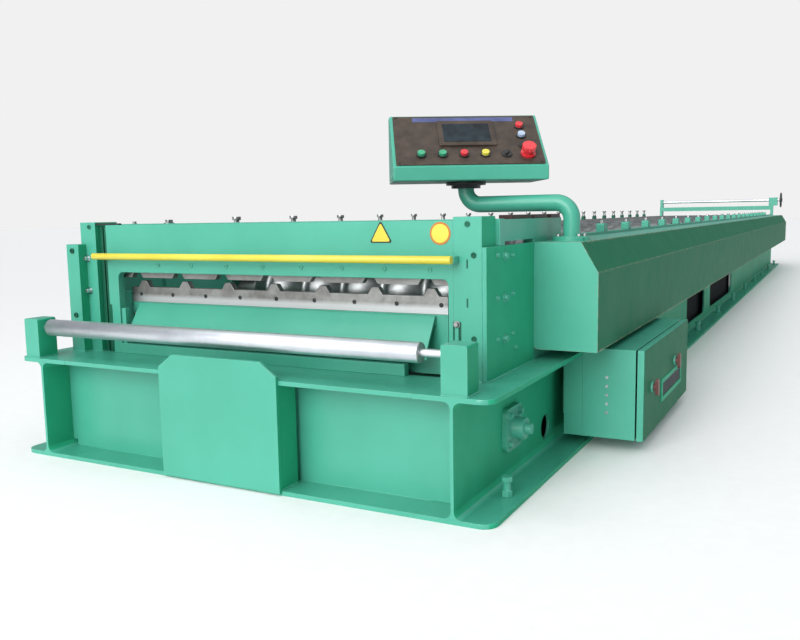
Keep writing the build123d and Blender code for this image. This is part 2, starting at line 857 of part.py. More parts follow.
# Closed cable box that fills the beam beside the cabinet, and its set-back mount
with BuildPart() as cable_box:
    cable_box_x = (web_x + cable_box_inset, outer_flange_x)
    mount_y = (cabinet_y[0] + cable_mount_setback, cabinet_y[1] - cable_mount_setback)
    block(cable_box_x, cabinet_y, (cabinet_low, between_flanges[1]))
    block((web_x + cable_mount_inset, cable_box_x[0]), mount_y, (cable_mount_low, between_flanges[1]))
finish(cable_box, "cable_box")

# Body of the electrical cabinet, open on its outer side
door_back = cabinet_outer_x - door_depth
body_outer = door_back - door_gap
with BuildPart() as electrical_cabinet:
    block((outer_flange_x, body_outer), cabinet_y, (cabinet_low, cabinet_high))
    block((outer_flange_x + cabinet_wall, body_outer),
          (cabinet_y[0] + cabinet_wall, cabinet_y[1] - cabinet_wall),
          (cabinet_low + cabinet_wall, cabinet_high - cabinet_wall), mode=Mode.SUBTRACT)
finish(electrical_cabinet, "electrical_cabinet")

# Door of the cabinet: a shallow pan, the switch plates and the moving hinge halves
hinge_x = (door_back + cabinet_outer_x) / 2
hinge_y = cabinet_y[1] + hinge_offset
hinge_middles = (cabinet_low + hinge_inset, cabinet_high - hinge_inset)
with BuildPart() as cabinet_door:
    block((door_back, cabinet_outer_x), cabinet_y, (cabinet_low, cabinet_high))
    fillet(cabinet_door.edges().group_by(Axis.X)[-1], door_wall)
    block((door_back, cabinet_outer_x - door_wall), (cabinet_y[0] + door_wall, cabinet_y[1] - door_wall),
          (cabinet_low + door_wall, cabinet_high - door_wall), mode=Mode.SUBTRACT)
    for z in hinge_middles:
        leaf_z = (z + hinge_play, z + hinge_height / 2)
        block((hinge_x - hinge_leaf, hinge_x + hinge_leaf), (cabinet_y[1] - door_wall, hinge_y), leaf_z)
        round_z(hinge_x, hinge_y, leaf_z, hinge_radius)
    for y, z in handle_places:
        round_x((cabinet_outer_x, cabinet_outer_x + handle_base_depth), y, z, handle_base_radius)
finish(cabinet_door, "cabinet_door")

# Fixed halves of the door hinges
with BuildPart() as cabinet_hinges:
    for z in hinge_middles:
        leaf_z = (z - hinge_height / 2, z - hinge_play)
        round_z(hinge_x, hinge_y, leaf_z, hinge_radius)
        block((body_outer - hinge_reach, hinge_x), (hinge_y - hinge_leaf, hinge_y + hinge_leaf), leaf_z)
        block((body_outer - hinge_reach, body_outer - hinge_reach / 2), (cabinet_y[1], hinge_y), leaf_z)
finish(cabinet_hinges, "cabinet_hinges")

# Framed window of the meter on the door
with BuildPart() as door_window:
    with BuildSketch(Plane.YZ.offset(cabinet_outer_x)):
        with Locations((meter_y, meter_z)):
            Rectangle(meter_width, meter_height)
            Rectangle(meter_width - 2 * meter_frame, meter_height - 2 * meter_frame, mode=Mode.SUBTRACT)
    extrude(amount=door_wall)
finish(door_window, "door_window")


def switch_handle(place):
    """Turning handle of one rotary switch."""
    y, z = place
    neck_start = cabinet_outer_x + handle_base_depth + handle_gap
    neck_end = neck_start + handle_neck
    with BuildPart() as handle:
        round_x((neck_start, neck_end), y, z, handle_neck_radius)
        with BuildSketch(Plane.YZ.offset(neck_end)):
            with Locations((y, z)):
                SlotOverall(handle_length, handle_width, rotation=90)
        extrude(amount=handle_depth)
    return handle


main_switch_handle = switch_handle(handle_places[0])
finish(main_switch_handle, "main_switch_handle")
second_switch_handle = switch_handle(handle_places[1])
finish(second_switch_handle, "second_switch_handle")

# Bent tube that carries the control panel, closed at its upper end
with BuildPart() as control_arm:
    foot_high = guard_high + arm_foot
    round_z(arm_x, swivel_y, (guard_high, foot_high), arm_foot_radius)
    with BuildLine() as arm_path:
        FilletPolyline(
            (arm_x, swivel_y, foot_high), (arm_x, swivel_y, arm_run_z), (swivel_x, swivel_y, arm_run_z),
            (swivel_x, swivel_y, swivel_z - swivel_gap), radius=swivel_rise - arm_bend_allowance,
        )
    with BuildSketch(Plane.XY.offset(foot_high)):
        with Locations((arm_x, swivel_y)):
            Circle(arm_radius)
    sweep(path=arm_path.wire())
finish(control_arm, "control_arm")

# Stepped swivel flange under the panel
panel_low = swivel_z + 2 * swivel_step
with BuildPart() as swivel_flange:
    round_z(swivel_x, swivel_y, (swivel_z, swivel_z + swivel_step), swivel_low_radius)
    round_z(swivel_x, swivel_y, (swivel_z + swivel_step, panel_low), swivel_high_radius)
finish(swivel_flange, "swivel_flange")

# Desk-shaped control panel, turned towards the operator
turn = math.radians(panel_turn)
across = (math.cos(turn), math.sin(turn), 0)
inward = (-math.sin(turn), math.cos(turn), 0)
panel_side = Plane(origin=(swivel_x, swivel_y, panel_low), x_dir=inward, z_dir=across)
with BuildPart() as control_panel:
    with BuildSketch(panel_side.offset(-panel_width / 2)):
        Polygon(
            (-panel_depth / 2, 0), (panel_depth / 2, 0), (panel_depth / 2, panel_height),
            (-panel_depth / 2 + panel_slope_run, panel_height), (-panel_depth / 2, panel_front), align=None,
        )
    extrude(amount=panel_width)
    fillet(control_panel.edges(), panel_corner)
finish(control_panel, "control_panel")

# Plane of the sloping face, its origin at the middle of the slope
slope_rise = panel_height - panel_front
slope_length = math.hypot(panel_slope_run, slope_rise)
slope_middle = (panel_slope_run - panel_depth) / 2
face_plane = Plane(
    origin=(
        swivel_x + inward[0] * slope_middle,
        swivel_y + inward[1] * slope_middle,
        panel_low + panel_front + slope_rise / 2,
    ),
    x_dir=across,
    z_dir=(-inward[0] * slope_rise, -inward[1] * slope_rise, panel_slope_run),
)
slope_top = slope_length / 2

# Dark face plate with the raised frame of the screen
with BuildPart() as panel_face:
    with BuildSketch(face_plane):
        RectangleRounded(panel_width - 2 * face_side_margin, slope_length - 2 * face_end_margin, panel_corner)
    extrude(amount=face_thickness)
    with BuildSketch(face_plane.offset(face_thickness)):
        with Locations((0, slope_top - screen_from_top)):
            RectangleRounded(screen_frame_width, screen_frame_height, panel_corner)
    extrude(amount=screen_frame_thickness)
finish(panel_face, "panel_face")

with BuildPart() as panel_screen:
    with BuildSketch(face_plane.offset(face_thickness + screen_frame_thickness)):
        with Locations((0, slope_top - screen_from_top)):
            Rectangle(screen_width, screen_height)
    extrude(amount=screen_thickness)
finish(panel_screen, "panel_screen")

# Places of the controls on the face: the button row, and the column of lamps and key switch
button_row = button_from_bottom - slope_top
button_first = button_left_margin - panel_width / 2
stop_place = panel_width / 2 - stop_right_margin
button_pitch = (stop_place - button_first) / (button_count + 1)
lamp_place = panel_width / 2 - lamp_right_margin
switch_places = [
    (button_first + button_count * button_pitch, button_row),
    (lamp_place, slope_top - key_from_top),
]
cap_places = [(button_first + i * button_pitch, button_row) for i in range(button_count)]
cap_places += [(lamp_place, slope_top - drop) for drop in lamps_from_top]

# Push buttons, switches and lamps
with BuildPart() as panel_controls:
    with BuildSketch(face_plane.offset(face_thickness)):
        with Locations(*(switch_places + cap_places)):
            Circle(button_base_radius)
    extrude(amount=button_base)
    with BuildSketch(face_plane.offset(face_thickness + button_base)):
        with Locations(*cap_places):
            Circle(button_cap_radius)
        with Locations(*switch_places):
            SlotOverall(2 * button_cap_radius, switch_width, rotation=switch_turn)
    extrude(amount=button_cap)
finish(panel_controls, "panel_controls")

# Mushroom stop button
with BuildPart() as emergency_stop:
    level = face_thickness
    stop_steps = (
        (stop_base_radius, stop_base),
        (stop_stem_radius, stop_stem),
        (stop_head_radius, stop_head),
    )
    for radius, height in stop_steps:
        with BuildSketch(face_plane.offset(level)):
            with Locations((stop_place, button_row)):
                Circle(radius)
        extrude(amount=height)
        level += height
finish(emergency_stop, "emergency_stop")

# Beam over the entry of the forming section
with BuildPart() as entry_crossbeam:
    block((-wall_x[1], wall_x[1]), entry_y, (entry_low, entry_high))
finish(entry_crossbeam, "entry_crossbeam")


def spindle_bracket(x_span):
    """Upright bearing block of the adjusting spindle."""
    half = spindle_bracket_depth / 2
    with BuildPart() as bracket:
        block(x_span, (spindle_y - half, spindle_y + half), (entry_high, entry_high + spindle_bracket_height))
        round_x(x_span, spindle_y, spindle_z, spindle_radius + spindle_running, mode=Mode.SUBTRACT)
    return bracket


spindle_bracket_left = spindle_bracket(spindle_left_bracket)
finish(spindle_bracket_left, "spindle_bracket_left")
spindle_bracket_right = spindle_bracket(spindle_right_bracket)
finish(spindle_bracket_right, "spindle_bracket_right")

with BuildPart() as guide_spindle:
    round_x((spindle_left_bracket[0], wheel_x - wheel_hub_length / 2), spindle_y, spindle_z, spindle_radius)
finish(guide_spindle, "guide_spindle")

# Hand wheel on the right end of the spindle
with BuildPart() as hand_wheel:
    wheel_centre = (wheel_x, spindle_y, spindle_z)
    rim_centre = wheel_radius - wheel_rim
    with BuildSketch(Plane(origin=wheel_centre, x_dir=(0, 1, 0), z_dir=(0, 0, 1))):
        with Locations((rim_centre, 0)):
            Circle(wheel_rim)
    revolve(axis=Axis(wheel_centre, (1, 0, 0)), revolution_arc=360)
    hub_x = (wheel_x - wheel_hub_length / 2, wheel_x + wheel_hub_length / 2)
    round_x(hub_x, spindle_y, spindle_z, wheel_hub_radius)
    for k in range(wheel_spokes):
        angle = 2 * math.pi * k / wheel_spokes + math.pi / 2
        outward = (0, math.cos(angle), math.sin(angle))
        with BuildSketch(Plane(origin=wheel_centre, x_dir=(1, 0, 0), z_dir=outward)):
            Circle(wheel_spoke_radius)
        extrude(amount=rim_centre)
finish(hand_wheel, "hand_wheel")
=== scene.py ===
"""Looks of the roll forming machine: finishes, fastenings, fittings, light and camera."""

import math
import random

import bmesh
import bpy
from mathutils import Matrix, Vector


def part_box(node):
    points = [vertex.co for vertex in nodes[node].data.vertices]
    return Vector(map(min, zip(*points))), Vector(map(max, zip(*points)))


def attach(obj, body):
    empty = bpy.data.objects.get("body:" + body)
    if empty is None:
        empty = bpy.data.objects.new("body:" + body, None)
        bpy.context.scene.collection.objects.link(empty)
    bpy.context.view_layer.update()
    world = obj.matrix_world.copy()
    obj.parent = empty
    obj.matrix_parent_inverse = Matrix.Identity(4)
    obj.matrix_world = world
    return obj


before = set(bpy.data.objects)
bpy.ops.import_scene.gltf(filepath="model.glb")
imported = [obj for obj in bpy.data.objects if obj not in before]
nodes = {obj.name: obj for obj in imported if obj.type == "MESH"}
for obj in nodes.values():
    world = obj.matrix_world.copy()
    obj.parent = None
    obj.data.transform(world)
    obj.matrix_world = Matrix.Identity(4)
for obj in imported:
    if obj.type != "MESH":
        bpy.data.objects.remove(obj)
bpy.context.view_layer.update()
random.seed(7)

mm = 0.001

# Camera: the place and aim of the photograph's own camera.
camera_place = Vector((1.43345, -1.7787, 0.7102))
camera_yaw = math.radians(-27.8)
camera_pitch = math.radians(7.2)
camera_roll = math.radians(-1.0)
camera_lens = 37.377
camera_sensor = 36.0

# Edge rounding of the plates and castings, and how far a face turns to the side to count as a flank, which is
# painted darker as painted shade.
edge_round = 1.5 * mm
edge_angle = math.radians(40)
weld_distance = 0.01 * mm
flank_slope = 0.6
unrounded = ("lower_forming_rolls", "upper_forming_rolls", "hand_wheel", "control_arm", "panel_controls",
             "guide_spindle", "emergency_stop", "panel_screen", "door_window", "support_roller")

# Fastenings: the radius of each, and the height that it stands proud.
post_screw = (7 * mm, 3 * mm)
post_stud = (7 * mm, 16 * mm)
front_screw = (6 * mm, 3 * mm)
blade_screw = (6 * mm, 1.5 * mm)
gib_stud = (6 * mm, 10 * mm)
side_bolt = (9 * mm, 8 * mm)
side_stud = (4.5 * mm, 7 * mm)
bracket_screw = (8 * mm, 5 * mm)
crosshead_outer_bolt = (6 * mm, 6 * mm)
crosshead_inner_bolt = (12 * mm, 9 * mm)
cap_bolt = (9 * mm, 9 * mm)
unit_bolt = (9 * mm, 8 * mm)
foot_bolt = (6 * mm, 5 * mm)
cabinet_screw = (4.5 * mm, 2.5 * mm)
panel_screw = (3 * mm, 1.5 * mm)

# Grain of the finishes: how often each pattern repeats in a metre, and how deep it is.
cloud_scale = 3.5
streak_scale = 3.0
chip_scale = 38.0
dust_scale = 11.0
peel_scale = 420.0
wave_scale = 14.0
peel_depth = 0.5 * mm
wave_depth = 4 * mm
brush_scale = 60.0
brush_depth = 0.3 * mm
blade_blotch = 16.0
mark_scale = 24.0
mould_scale = 900.0
mould_depth = 0.2 * mm
cast_cloud_scale = 16.0
sand_scale = 260.0
sand_depth = 0.8 * mm

# Colours, as linear light.
green_light = (0.066, 0.380, 0.272, 1)
green_deep = (0.054, 0.340, 0.236, 1)
green_worn = (0.20, 0.50, 0.36, 1)
# Darker, duller greens for the +X faces of the cabinet door and the guard: painted shade.
dull_shaded_light = (0.020, 0.170, 0.088, 1)
dull_shaded_deep = (0.018, 0.157, 0.080, 1)
guard_worn = (0.62, 0.50, 0.40, 1)
# Darker greens for the other faces turned to +X: painted shade.
flank_shaded_light = (0.030, 0.400, 0.225, 1)
flank_shaded_deep = (0.022, 0.340, 0.185, 1)
# A dark green for slots, recesses, sockets and parts deep inside: painted shade.
painted_shade_light = (0.010, 0.120, 0.070, 1)
painted_shade_deep = (0.006, 0.075, 0.042, 1)
primer = (0.42, 0.33, 0.27, 1)
yellow_light = (0.66, 0.60, 0.07, 1)
yellow_deep = (0.60, 0.50, 0.04, 1)
orange_light = (0.50, 0.17, 0.02, 1)
orange_deep = (0.42, 0.13, 0.015, 1)
steel_light = (0.72, 0.75, 0.79, 1)
steel_deep = (0.57, 0.60, 0.65, 1)
blade_light = (0.34, 0.34, 0.33, 1)
blade_deep = (0.20, 0.19, 0.18, 1)
blade_bright = (0.56, 0.57, 0.57, 1)
roll_light = (0.32, 0.33, 0.33, 1)
roll_deep = (0.18, 0.19, 0.19, 1)
zinc_light = (0.42, 0.43, 0.42, 1)
zinc_deep = (0.20, 0.21, 0.21, 1)
dark_light = (0.075, 0.055, 0.042, 1)
dark_deep = (0.040, 0.029, 0.022, 1)
black_light = (0.030, 0.031, 0.033, 1)
black_deep = (0.012, 0.012, 0.013, 1)
block_light = (0.070, 0.026, 0.024, 1)
block_deep = (0.034, 0.018, 0.017, 1)
brown_light = (0.17, 0.062, 0.055, 1)
brown_deep = (0.09, 0.036, 0.032, 1)
glass_light = (0.016, 0.030, 0.040, 1)
glass_deep = (0.006, 0.010, 0.014, 1)
red_light = (0.72, 0.035, 0.045, 1)
red_deep = (0.50, 0.020, 0.028, 1)
button_green = (0.05, 0.42, 0.22, 1)
button_green_deep = (0.03, 0.28, 0.14, 1)
lamp_white = (0.42, 0.52, 0.66, 1)
lamp_white_deep = (0.28, 0.37, 0.52, 1)
strip_light = (0.085, 0.105, 0.26, 1)
strip_deep = (0.05, 0.065, 0.17, 1)
floor_light = (0.92, 0.92, 0.92, 1)
floor_deep = (0.90, 0.90, 0.90, 1)


# Node helpers. Each returns the socket that carries its result.
def node(tree, kind, **settings):
    made = tree.nodes.new(kind)
    for name, value in settings.items():
        setattr(made, name, value)
    return made


def feed(tree, socket, value):
    if isinstance(value, bpy.types.NodeSocket):
        tree.links.new(value, socket)
    else:
        socket.default_value = value


def coordinates(tree, stretch=(1, 1, 1)):
    place = node(tree, "ShaderNodeTexCoord")
    mapping = node(tree, "ShaderNodeMapping")
    tree.links.new(place.outputs["Object"], mapping.inputs["Vector"])
    mapping.inputs["Scale"].default_value = stretch
    return mapping.outputs["Vector"]


def noise(tree, coords, scale, detail=3.0, rough=0.5):
    made = node(tree, "ShaderNodeTexNoise")
    tree.links.new(coords, made.inputs["Vector"])
    made.inputs["Scale"].default_value = scale
    made.inputs["Detail"].default_value = detail
    made.inputs["Roughness"].default_value = rough
    return made.outputs["Fac"]


def span(tree, value, start, end, to_low=0.0, to_high=1.0):
    made = node(tree, "ShaderNodeMapRange")
    feed(tree, made.inputs["Value"], value)
    made.inputs["From Min"].default_value = start
    made.inputs["From Max"].default_value = end
    made.inputs["To Min"].default_value = to_low
    made.inputs["To Max"].default_value = to_high
    return made.outputs["Result"]


def times(tree, first, second):
    made = node(tree, "ShaderNodeMath", operation="MULTIPLY")
    feed(tree, made.inputs[0], first)
    feed(tree, made.inputs[1], second)
    return made.outputs[0]


def mixed(tree, factor, first, second):
    made = node(tree, "ShaderNodeMix", data_type="RGBA")
    feed(tree, made.inputs[0], factor)
    feed(tree, made.inputs[6], first)
    feed(tree, made.inputs[7], second)
    return made.outputs[2]


def bumped(tree, height, strength, depth, base=None):
    made = node(tree, "ShaderNodeBump")
    made.inputs["Strength"].default_value = strength
    made.inputs["Distance"].default_value = depth
    tree.links.new(height, made.inputs["Height"])
    if base is not None:
        tree.links.new(base, made.inputs["Normal"])
    return made.outputs["Normal"]


def edge_mask(tree, reach):
    """1 along sharp edges, 0 on the flats."""
    rounded = node(tree, "ShaderNodeBevel", samples=4)
    rounded.inputs["Radius"].default_value = reach
    surface = node(tree, "ShaderNodeNewGeometry")
    turn = node(tree, "ShaderNodeVectorMath", operation="DOT_PRODUCT")
    tree.links.new(rounded.outputs["Normal"], turn.inputs[0])
    tree.links.new(surface.outputs["Normal"], turn.inputs[1])
    return span(tree, turn.outputs["Value"], 0.995, 0.86)


def blank(name, metal=0.0, coat=0.0, coat_rough=0.1, shine=0.42):
    """A material with an empty principled shader, its node tree and that shader."""
    made = bpy.data.materials.new(name)
    made.use_nodes = True
    tree = made.node_tree
    shader = tree.nodes["Principled BSDF"]
    shader.inputs["Metallic"].default_value = metal
    shader.inputs["Coat Weight"].default_value = coat
    shader.inputs["Coat Roughness"].default_value = coat_rough
    shader.inputs["Specular IOR Level"].default_value = shine
    return made, tree, shader


def paint(name, light, deep, worn, wear=0.5, gloss=(0.32, 0.44), grain=0.12, coat=0.2, shine=0.42,
          chipped=3.0 * mm, streak=0.12):
    """Sprayed enamel: clouded colour, orange peel, dusty patches and worn edges."""
    made, tree, shader = blank(name, coat=coat, coat_rough=0.25, shine=shine)
    coords = coordinates(tree)
    clouds = noise(tree, coords, cloud_scale, 4.0, 0.6)
    colour = mixed(tree, span(tree, clouds, 0.35, 0.65), deep, light)
    streaks = noise(tree, coordinates(tree, (7, 7, 1.0)), streak_scale, 3.0, 0.6)
    colour = mixed(tree, span(tree, streaks, 0.58, 0.84, 0.0, streak), colour, deep)
    chips = span(tree, noise(tree, coords, chip_scale, 5.0, 0.7), 0.40, 0.62)
    edges = times(tree, edge_mask(tree, chipped), chips)
    colour = mixed(tree, times(tree, edges, wear), colour, worn)
    tree.links.new(colour, shader.inputs["Base Color"])
    dust = noise(tree, coords, dust_scale, 5.0, 0.65)
    tree.links.new(span(tree, dust, 0.3, 0.7, *gloss), shader.inputs["Roughness"])
    peel = noise(tree, coords, peel_scale, 2.0, 0.5)
    wave = noise(tree, coords, wave_scale, 2.0, 0.5)
    soft = bumped(tree, wave, 0.06, wave_depth)
    tree.links.new(bumped(tree, peel, grain, peel_depth, soft), shader.inputs["Normal"])
    return made


def metal(name, light, deep, brush=(1, 1, 1), gloss=(0.18, 0.34), scratch=0.12, blotch=6.0):
    """Bare or plated metal with brushed lines, blotches and fine scratches."""
    made, tree, shader = blank(name, metal=1.0)
    coords = coordinates(tree)
    lines = noise(tree, coordinates(tree, brush), brush_scale, 4.0, 0.6)
    stains = noise(tree, coords, blotch, 5.0, 0.65)
    tone = mixed(tree, span(tree, stains, 0.35, 0.62), deep, light)
    tone = mixed(tree, span(tree, lines, 0.35, 0.75, 0.0, 0.25), tone, light)
    tree.links.new(tone, shader.inputs["Base Color"])
    tree.links.new(span(tree, lines, 0.3, 0.7, *gloss), shader.inputs["Roughness"])
    tree.links.new(bumped(tree, lines, scratch, brush_depth), shader.inputs["Normal"])
    return made


def banded_metal(name, light, deep, bright, band_low, band_high):
    """Ground steel with a brighter polished band between two heights."""
    made, tree, shader = blank(name, metal=1.0)
    coords = coordinates(tree)
    lines = noise(tree, coordinates(tree, (8, 8, 0.8)), brush_scale, 4.0, 0.6)
    stains = noise(tree, coords, blade_blotch, 5.0, 0.65)
    tone = mixed(tree, span(tree, stains, 0.35, 0.62), deep, light)
    split = node(tree, "ShaderNodeSeparateXYZ")
    tree.links.new(coords, split.inputs["Vector"])
    band = span(tree, split.outputs["Z"], band_high, band_low)
    tone = mixed(tree, band, tone, bright)
    tree.links.new(tone, shader.inputs["Base Color"])
    tree.links.new(span(tree, lines, 0.3, 0.7, 0.42, 0.56), shader.inputs["Roughness"])
    tree.links.new(bumped(tree, lines, 0.12, brush_depth), shader.inputs["Normal"])
    return made


def plastic(name, light, deep, gloss=(0.30, 0.45), coat=0.0, grain=0.1, shine=0.42):
    """Moulded plastic with a faint grain and handling marks."""
    made, tree, shader = blank(name, coat=coat, coat_rough=0.06, shine=shine)
    coords = coordinates(tree)
    marks = noise(tree, coords, mark_scale, 4.0, 0.6)
    tree.links.new(mixed(tree, span(tree, marks, 0.35, 0.65), deep, light), shader.inputs["Base Color"])
    tree.links.new(span(tree, marks, 0.3, 0.7, *gloss), shader.inputs["Roughness"])
    fine = noise(tree, coords, mould_scale, 2.0, 0.5)
    tree.links.new(bumped(tree, fine, grain, mould_depth), shader.inputs["Normal"])
    return made


def cast_paint(name, light, deep):
    """Paint over a sand casting."""
    made, tree, shader = blank(name, coat=0.15, coat_rough=0.2)
    coords = coordinates(tree)
    clouds = noise(tree, coords, cast_cloud_scale, 4.0, 0.6)
    tree.links.new(mixed(tree, span(tree, clouds, 0.35, 0.65), deep, light), shader.inputs["Base Color"])
    tree.links.new(span(tree, clouds, 0.3, 0.7, 0.34, 0.55), shader.inputs["Roughness"])
    sand = noise(tree, coords, sand_scale, 4.0, 0.7)
    tree.links.new(bumped(tree, sand, 0.5, sand_depth), shader.inputs["Normal"])
    return made


green = paint("green_enamel", green_light, green_deep, green_worn)
green_edge = paint("green_edge_worn", green_light, green_deep, primer, wear=0.8, chipped=4.0 * mm)
# Greens for the faces turned to +X, darker than the fronts: painted shade.
green_dull_shaded = paint("green_dull_shaded", dull_shaded_light, dull_shaded_deep, green_worn, wear=0.4, gloss=(0.50, 0.58), coat=0.0,
                   shine=0.08, streak=0.0)
green_guard_shaded = paint("green_guard_shaded", dull_shaded_light, dull_shaded_deep, guard_worn, wear=1.0, gloss=(0.50, 0.58), coat=0.0,
                    shine=0.08, chipped=9.0 * mm, streak=0.0)
green_flank_shaded = paint("green_flank_shaded", flank_shaded_light, flank_shaded_deep, green_worn, wear=0.4, gloss=(0.45, 0.55), coat=0.0,
                    shine=0.12)
# The dark green of painted shade, for slots, recesses, sockets and parts deep inside.
green_painted_shade = paint("green_painted_shade", painted_shade_light, painted_shade_deep, green_worn, wear=0.2, coat=0.0, shine=0.2)
green_cast = cast_paint("cast_housing", green_light, green_deep)
yellow = paint("yellow_paint", yellow_light, yellow_deep, primer, wear=0.2, grain=0.08)
orange = paint("orange_paint", orange_light, orange_deep, primer, wear=0.2, grain=0.08)
roller_steel = metal("bright_steel", steel_light, steel_deep, brush=(0.6, 14, 14), gloss=(0.36, 0.48))
lower_steel = banded_metal("lower_blade_steel", blade_light, blade_deep, blade_bright, 0.470, 0.482)
upper_steel = metal("upper_blade_steel", blade_light, blade_deep, brush=(8, 8, 0.8), gloss=(0.42, 0.56), blotch=9)
chrome = metal("roll_chrome", roll_light, roll_deep, brush=(0.5, 9, 9), gloss=(0.34, 0.46))
zinc = metal("plain_steel", zinc_light, zinc_deep, gloss=(0.30, 0.50), blotch=40)
bright_zinc = metal("bright_zinc", steel_light, zinc_light, gloss=(0.22, 0.36), blotch=40)
panel_brown = plastic("panel_brown", dark_light, dark_deep, gloss=(0.38, 0.55), grain=0.3, shine=0.3)
black = plastic("black_plastic", black_light, black_deep)
# A flat dark finish for the sheet of painted shade inside the right beam.
backing = plastic("painted_shade_black", black_light, black_deep, gloss=(0.7, 0.85), shine=0.05)
block_red = plastic("block_red", block_light, block_deep, shine=0.2)
brown = plastic("handle_brown", brown_light, brown_deep, gloss=(0.3, 0.45), coat=0.1)
glass = plastic("screen_glass", glass_light, glass_deep, gloss=(0.10, 0.18), grain=0.0, shine=0.2)
meter_glass = plastic("meter_glass", glass_light, glass_deep, gloss=(0.40, 0.50), grain=0.0, shine=0.08)
red = plastic("red_plastic", red_light, red_deep, gloss=(0.2, 0.32), coat=0.4)
green_plastic = plastic("green_plastic", button_green, button_green_deep, gloss=(0.2, 0.32), coat=0.4)
yellow_plastic = plastic("yellow_plastic", yellow_light, yellow_deep, gloss=(0.2, 0.32), coat=0.4)
white_plastic = plastic("white_plastic", lamp_white, lamp_white_deep, gloss=(0.15, 0.25), coat=0.5)
blue_strip = plastic("blue_strip", strip_light, strip_deep, gloss=(0.35, 0.5))
floor_finish = plastic("floor_finish", floor_light, floor_deep, gloss=(0.6, 0.8))

finishes = {
    "hand_guard_bar": (yellow, "yellow_paint"),
    "support_roller": (roller_steel, "bright_steel"),
    "lower_blade": (lower_steel, "bright_steel"),
    "upper_blade": (upper_steel, "bright_steel"),
    "lower_forming_rolls": (chrome, "roll_chrome"),
    "upper_forming_rolls": (chrome, "roll_chrome"),
    "guide_spindle": (roller_steel, "bright_steel"),
    "hand_wheel": (black, "black_plastic"),
    "adjusting_screws": (zinc, "plain_steel"),
    "front_bearing_unit": (green_cast, "cast_housing"),
    # The bearing blocks and the left caps, deep inside and in shade, take the dark green: painted shade.
    "bearing_blocks_left": (green_painted_shade, "cast_housing"),
    "bearing_blocks_right": (green_painted_shade, "cast_housing"),
    "bearing_caps_left": (green_painted_shade, "green_enamel"),
    "bearing_caps_right": (green_cast, "green_enamel"),
    "chain_guard": (green_edge, "green_enamel"),
    # The window frame on the door's +X end takes the darker flank green: painted shade.
    "door_window": (green_flank_shaded, "green_enamel"),
    "panel_face": (panel_brown, "black_plastic"),
    "swivel_flange": (black, "black_plastic"),
    "panel_screen": (glass, "screen_glass"),
    "main_switch_handle": (brown, "black_plastic"),
    "second_switch_handle": (brown, "black_plastic"),
    "emergency_stop": (red, "red_plastic"),
    "panel_controls": (black, "black_plastic"),
}

for name, piece in nodes.items():
    finish, slot = finishes.get(name, (green, "green_enamel"))
    piece.data.materials.clear()
    piece.data.materials.append(finish)
    joined = piece.modifiers.new("joined", "WELD")
    joined.merge_threshold = weld_distance
    if name not in unrounded:
        rounded = piece.modifiers.new("rounded", "BEVEL")
        rounded.width = edge_round
        rounded.segments = 2
        rounded.limit_method = "ANGLE"
        rounded.angle_limit = edge_angle
        rounded.harden_normals = True
        rounded.use_clamp_overlap = True

# The outer flanks, the faces turned to +X, are duller than the fronts and painted darker: painted shade on the
# side away from the light. Those of the guard and the cabinet door are painted darker still, also painted shade.
shaded_flanks = {"chain_guard": green_guard_shaded, "cabinet_door": green_dull_shaded}
for name in ("side_beam_right", "shear_side_plate_right", "front_cross_beam", "shear_post_right", "side_beam_left",
             "roller_bracket_right", "shear_left_bracket", "shear_post_left", "cable_box", "front_stiffeners",
             "front_cover_plate", "roller_bracket_left"):
    shaded_flanks[name] = green_flank_shaded
for name, finish in shaded_flanks.items():
    flank = nodes[name].data
    flank.materials.append(finish)
    for face in flank.polygons:
        if face.normal.x > flank_slope:
            face.material_index = 1


# The roller's turned end faces take the darker plain steel: painted shade.
ends = nodes["support_roller"].data
ends.materials.append(zinc)
for face in ends.polygons:
    if abs(face.normal.x) > flank_slope:
        face.material_index = 1


# Mesh helpers.
def along(direction):
    """Rotation that turns +Z into the direction."""
    return Vector(direction).normalized().to_track_quat("Z", "Y").to_matrix()


def turned(mesh, place, direction, rings, segments=24):
    """A turned form. Each ring is (radius, height) or (radius, height, True) where it is six-sided."""
    turn = along(direction)
    loops = []
    for ring in rings:
        loop = []
        for i in range(segments):
            angle = 2 * math.pi * i / segments
            reach = ring[0]
            if len(ring) > 2:
                reach *= math.cos(math.pi / 6) / math.cos(angle % (math.pi / 3) - math.pi / 6)
            point = Vector((reach * math.cos(angle), reach * math.sin(angle), ring[1]))
            loop.append(mesh.verts.new(Vector(place) + turn @ point))
        loops.append(loop)
    for under, over in zip(loops, loops[1:]):
        for i in range(segments):
            j = (i + 1) % segments
            mesh.faces.new((under[i], under[j], over[j], over[i]))
    mesh.faces.new(loops[0][::-1])
    mesh.faces.new(loops[-1])


def socket_bolt(mesh, place, direction, radius, height):
    """Cap screw with a round head and a hexagon socket."""
    edge = radius * 0.12
    turned(mesh, place, direction, (
        (radius, 0), (radius, height - edge), (radius - edge, height),
        (radius * 0.62, height), (radius * 0.56, height - edge, True), (radius * 0.56, height * 0.4, True)))


def hex_bolt(mesh, place, direction, radius, height):
    """Hexagon head on its washer."""
    washer = height * 0.25
    edge = radius * 0.12
    turned(mesh, place, direction, (
        (radius * 1.35, 0), (radius * 1.35, washer), (radius, washer), (radius, washer, True),
        (radius, washer + height - edge, True), (radius * 0.88, washer + height), (radius * 0.2, washer + height)))


def stud(mesh, place, direction, radius, height):
    """Plain stud with a chamfered end on a thin washer."""
    turned(mesh, place, direction, (
        (radius * 1.5, 0), (radius * 1.5, height * 0.15), (radius, height * 0.15),
        (radius, height * 0.88), (radius * 0.8, height)))


